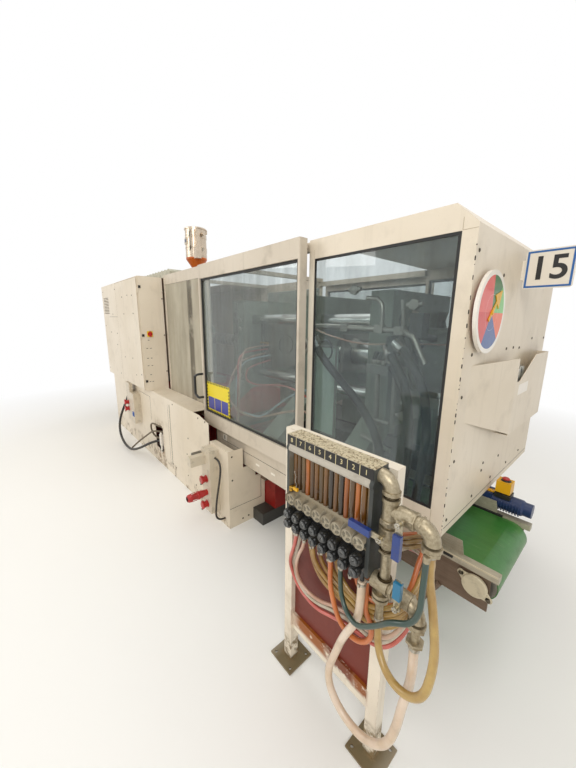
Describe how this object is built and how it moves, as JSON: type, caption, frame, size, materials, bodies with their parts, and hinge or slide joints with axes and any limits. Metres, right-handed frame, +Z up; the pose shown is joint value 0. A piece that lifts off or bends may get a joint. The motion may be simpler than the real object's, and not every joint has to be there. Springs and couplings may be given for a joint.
{
  "type": "injection moulding machine",
  "caption": "Horizontal hydraulic injection moulding machine with sliding safety gates, loader, side cabinet, mould water manifold on a stand and take-off conveyor.",
  "frame": {"origin": "on the floor, midway along the machine's 5.2 m body and midway across its 1.5 m guard housing", "axes": "+X along the machine from the cabinet end to the clamp end, +Z up, -Y toward the side with the manifold stand"},
  "size_m": [5.4353, 2.307, 2.985],
  "materials": {
    "cream_paint": "smooth semi-gloss machine enamel, lightly soiled",
    "frame_paint": "semi-gloss enamel on welded frame",
    "red_paint": "dull red frame enamel",
    "dark_paint": "dark grey enamel, dusty",
    "machine_green": "pale grey-green casting enamel",
    "clear_pane": "clear safety pane with light reflections",
    "black_plastic": "moulded black plastic",
    "grey_plastic": "moulded grey plastic",
    "pale_plastic": "light grey enclosure plastic",
    "red_plastic": "glossy red plastic",
    "white_plate": "glossy white plate",
    "dial_face": "printed plastic disc in plain coloured sectors",
    "yellow_plastic": "glossy yellow plastic",
    "steel": "machined steel",
    "chrome_bar": "hard chromed bar",
    "orange_paint": "orange powder coat",
    "bare_aluminium": "bright satin aluminium",
    "loader_steel": "polished stainless sheet",
    "stand_paint": "off-white enamel, rusting at the foot",
    "dark_red_sheet": "dark red enamel sheet",
    "tube_amber": "stained clear flow tube",
    "galvanised": "galvanised malleable iron with brass tint",
    "valve_blue": "blue dipped lever",
    "belt_green": "smooth green belt",
    "motor_blue": "blue enamel",
    "hose_white_skin": "reinforced translucent white hose",
    "hose_green_skin": "dark green rubber hose",
    "hose_amber_skin": "braided amber hose",
    "hose_orange_skin": "stained orange hose",
    "hose_grey_skin": "grey rubber hose",
    "cable_black": "black cable sheath"
  },
  "bodies": {
    "machine": {"bed_frame": "red_paint", "bed_cover": "cream_paint", "base_block": "cream_paint", "clamp_base": "dark_paint", "guard_frames": "frame_paint", "fixed_windows": "clear_pane", "clamp_housing": "cream_paint", "document_pocket": "cream_paint", "number_sign": "white_plate", "status_disc": "dial_face", "fixed_platen": "machine_green", "end_platen": "machine_green", "tie_bars": "chrome_bar", "mould_fixed": "steel", "rear_housing": "cream_paint", "roof_duct": "cream_paint", "cabinet": "cream_paint", "socket_boxes": "pale_plastic", "red_sockets": "red_plastic", "control_panel": "pale_plastic", "manifold_stand": "stand_paint", "stand_sheet": "dark_red_sheet", "manifold_body": "grey_plastic", "flow_tubes": "tube_amber", "manifold_knobs": "black_plastic", "pipework": "galvanised", "conveyor_frame": "bare_aluminium", "conveyor_belt": "belt_green", "conveyor_motor": "motor_blue", "stop_box": "yellow_plastic", "hose_white": "hose_white_skin", "hose_green": "hose_green_skin", "hose_amber": "hose_amber_skin", "hose_orange": "hose_orange_skin", "hose_grey": "hose_grey_skin", "cable_right": "cable_black", "cable_bundle": "cable_black"},
    "front_gate": {"gate_front": "frame_paint", "gate_front_window": "clear_pane"},
    "rear_gate": {"gate_rear": "frame_paint", "gate_rear_window": "clear_pane"},
    "door": {"cabinet_door": "cream_paint"},
    "switch": {"main_switch": "red_plastic"},
    "pointer": {"dial_pointer": "yellow_plastic"},
    "moving_clamp": {"moving_platen": "machine_green", "clamp_ram": "chrome_bar", "mould_moving": "steel"},
    "knockout": {"ejector": "steel"},
    "carriage": {"injection_carriage": "machine_green", "barrel": "steel", "hopper": "orange_paint", "loader": "loader_steel"},
    "drive": {"injection_drive": "machine_green"},
    "plasticising_screw": {"screw": "steel"},
    "front_roller": {"drive_roller": "steel"},
    "back_roller": {"idler_roller": "steel"},
    "stop_knob": {"stop_button": "red_plastic"},
    "lever_main": {"valve_lever_main": "valve_blue"},
    "lever_branch": {"valve_lever_branch": "valve_blue"},
    "lever_return": {"valve_lever_return": "valve_blue"}
  },
  "joints": [
    {"name": "front_gate_slide", "type": "slide", "parent": "machine", "child": "front_gate", "axis": [1, 0, 0], "range_m": [0, 0.85]},
    {"name": "rear_gate_slide", "type": "slide", "parent": "machine", "child": "rear_gate", "axis": [1, 0, 0], "range_m": [0, 0.85]},
    {"name": "cabinet_door_hinge", "type": "hinge", "parent": "machine", "child": "door", "pos_m": [-0.753, -1.0293, 1.5], "axis": [0, 0, 1], "range_deg": [0, 110]},
    {"name": "main_switch_turn", "type": "hinge", "parent": "machine", "child": "switch", "pos_m": [-0.75, -0.93, 1.555], "axis": [1, 0, 0], "range_deg": [0, 90]},
    {"name": "dial_pointer_turn", "type": "hinge", "parent": "machine", "child": "pointer", "pos_m": [2.63, -0.575, 1.77], "axis": [1, 0, 0], "continuous": true},
    {"name": "clamp_stroke", "type": "slide", "parent": "machine", "child": "moving_clamp", "axis": [1, 0, 0], "range_m": [-0.4, 0]},
    {"name": "knockout_stroke", "type": "slide", "parent": "moving_clamp", "child": "knockout", "axis": [-1, 0, 0], "range_m": [0, 0.06]},
    {"name": "carriage_stroke", "type": "slide", "parent": "machine", "child": "carriage", "axis": [-1, 0, 0], "range_m": [0, 0.2]},
    {"name": "plasticising_stroke", "type": "slide", "parent": "carriage", "child": "drive", "axis": [-1, 0, 0], "range_m": [0, 0.2]},
    {"name": "screw_spin", "type": "hinge", "parent": "drive", "child": "plasticising_screw", "pos_m": [-1.74, 0, 1.475], "axis": [1, 0, 0], "continuous": true},
    {"name": "front_roller_spin", "type": "hinge", "parent": "machine", "child": "front_roller", "pos_m": [2.742, -0.381, 0.536], "axis": [0, 1, 0], "continuous": true},
    {"name": "back_roller_spin", "type": "hinge", "parent": "machine", "child": "back_roller", "pos_m": [0.79, -0.381, 0.536], "axis": [0, 1, 0], "continuous": true},
    {"name": "stop_button_press", "type": "slide", "parent": "machine", "child": "stop_knob", "axis": [0, 0, -1], "range_m": [0, 0.005], "stiffness_N_per_m": 1500},
    {"name": "main_lever_turn", "type": "hinge", "parent": "machine", "child": "lever_main", "pos_m": [2.64, -1.3543, 1.068], "axis": [0, 1, 0], "range_deg": [0, 90]},
    {"name": "branch_lever_turn", "type": "hinge", "parent": "machine", "child": "lever_branch", "pos_m": [2.697, -1.3543, 1.15], "axis": [0, 1, 0], "range_deg": [-90, 0]},
    {"name": "return_lever_turn", "type": "hinge", "parent": "machine", "child": "lever_return", "pos_m": [2.712, -1.3543, 0.872], "axis": [0, 1, 0], "range_deg": [-90, 0]}
  ],
  "couplings": [
    {"joint": "back_roller_spin", "follows": "front_roller_spin", "ratio": 1}
  ]
}
